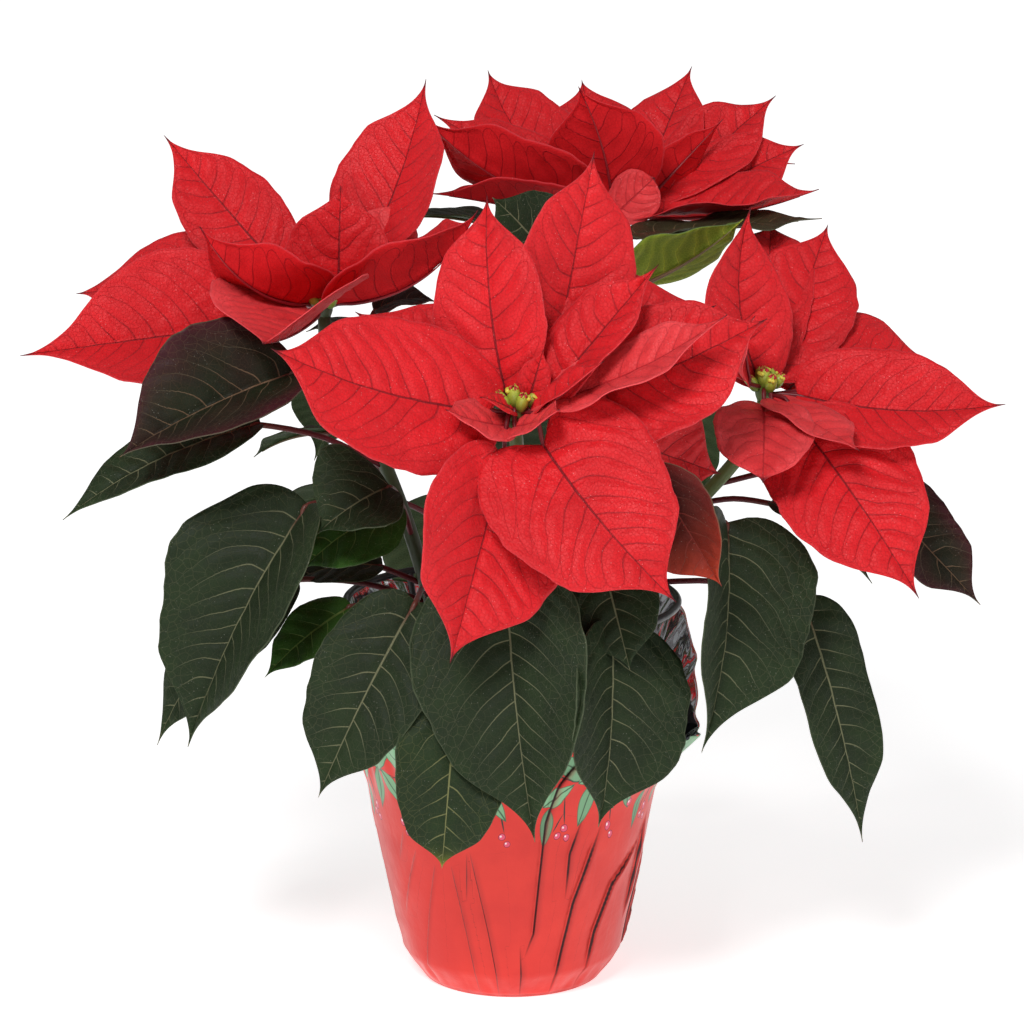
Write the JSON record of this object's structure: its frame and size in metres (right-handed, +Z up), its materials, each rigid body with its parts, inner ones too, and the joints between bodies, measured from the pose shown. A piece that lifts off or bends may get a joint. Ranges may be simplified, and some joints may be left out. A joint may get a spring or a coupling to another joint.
{
  "type": "potted poinsettia",
  "caption": "Poinsettia in bloom: rosettes of red bracts on leafy stems, in a black pot with a support ring, inside a pleated foil cover with a waved collar.",
  "frame": {"origin": "centre of the foil cover's flat base, on the surface the pot stands on", "axes": "+Z up the pot's axis, -Y towards the front of the plant, +X to its right as seen from the front"},
  "size_m": [0.4891, 0.3588, 0.4602],
  "materials": {
    "foil": "satin metallised film, salmon red with a printed border outside, silver inside",
    "black_plastic": "moulded black, semi-gloss",
    "soil": "damp peat, crumbly",
    "leaf": "dark green leaf, satin, with pale veins",
    "bract": "bright red bract, velvety satin, with dark veins",
    "cyathium": "yellow-green cups with red tops"
  },
  "bodies": {
    "root": {"foil_cover": "foil", "nursery_pot": "black_plastic", "support_ring": "black_plastic", "potting_soil": "soil", "leafy_stem_front": "leaf", "leafy_stem_left": "leaf", "leafy_stem_back": "leaf", "leafy_stem_right": "leaf", "leafy_stem_rear": "leaf", "bracts_front": "bract", "bracts_left": "bract", "bracts_back": "bract", "bracts_right": "bract", "cyathia_front": "cyathium", "cyathia_left": "cyathium", "cyathia_back": "cyathium", "cyathia_right": "cyathium"}
  },
  "joints": []
}
